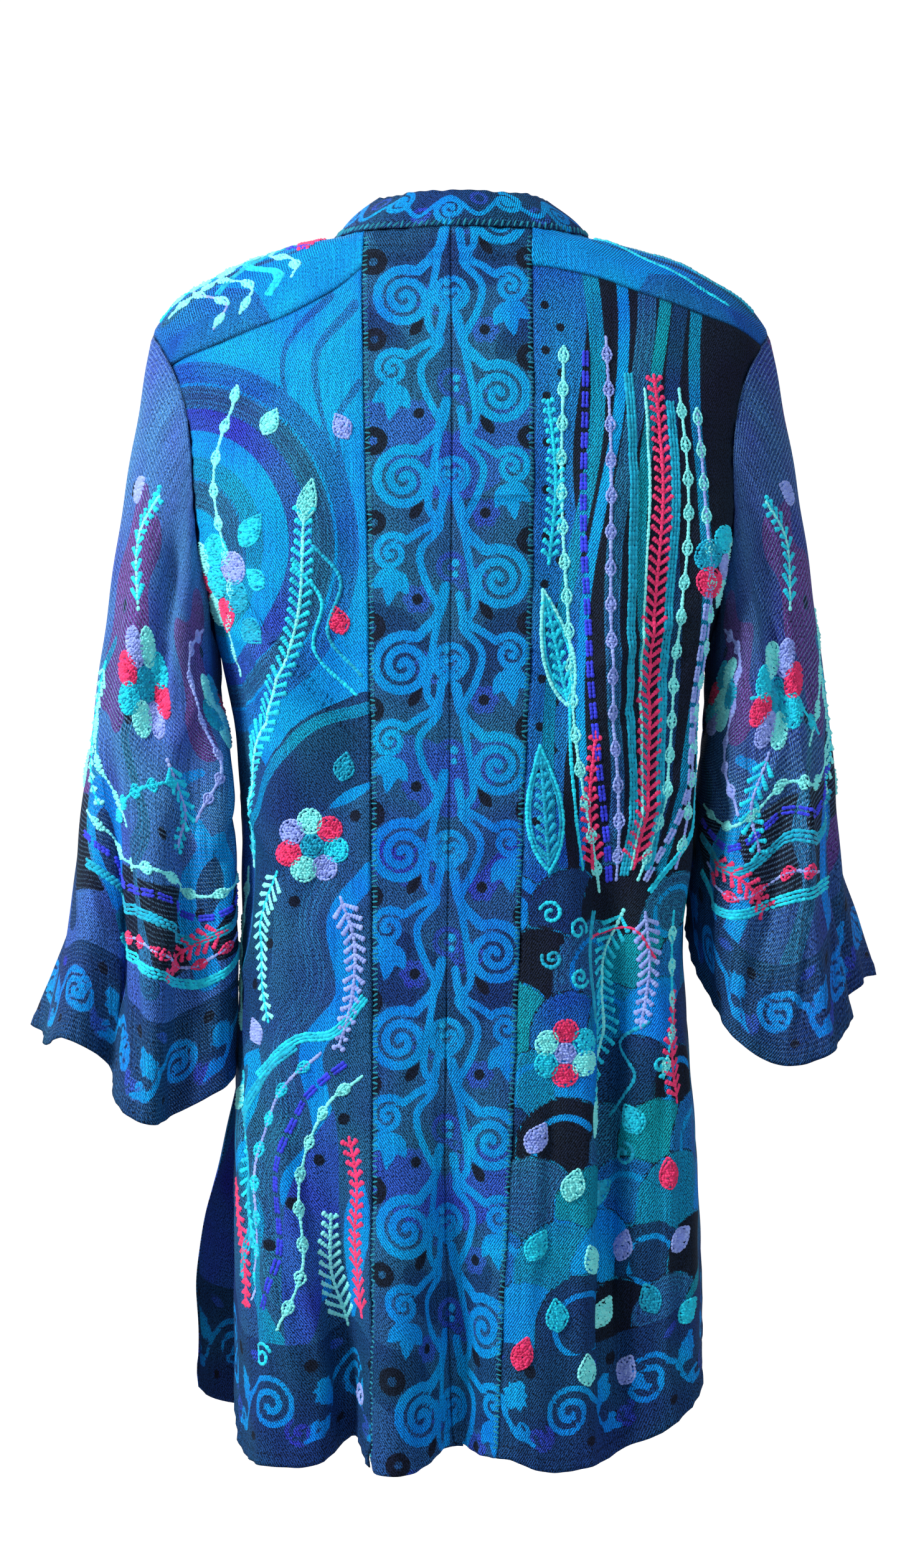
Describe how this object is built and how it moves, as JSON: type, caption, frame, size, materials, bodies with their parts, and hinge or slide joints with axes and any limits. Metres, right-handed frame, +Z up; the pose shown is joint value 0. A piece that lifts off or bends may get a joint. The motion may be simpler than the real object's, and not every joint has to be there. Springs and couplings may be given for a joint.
{
  "type": "embroidered jacket",
  "caption": "Long open-fronted jacket in blue figured shawl cloth with chain-stitch embroidery, a stand collar and wide sleeves.",
  "frame": {"origin": "between the shoulders, level with the seam of the collar, where the wearer's neck and shoulders carry the jacket", "axes": "+Z up, -Y the way the wearer faces, +X the wearer's left"},
  "size_m": [0.6352, 0.2651, 0.927],
  "materials": {
    "border_cloth": "woven figured cloth, soft sheen",
    "azure_cloth": "woven figured cloth, soft sheen",
    "teal_cloth": "woven figured cloth, soft sheen",
    "sleeve_cloth": "woven figured cloth, soft sheen",
    "embroidery_yarn": "twisted wool yarn, matt"
  },
  "bodies": {
    "root": {"back_strip_left": "border_cloth", "back_strip_right": "border_cloth", "back_panel_left": "azure_cloth", "back_panel_right": "teal_cloth", "front_left": "azure_cloth", "front_right": "teal_cloth", "sleeve_left": "sleeve_cloth", "sleeve_right": "sleeve_cloth", "collar_band": "border_cloth"}
  },
  "joints": []
}
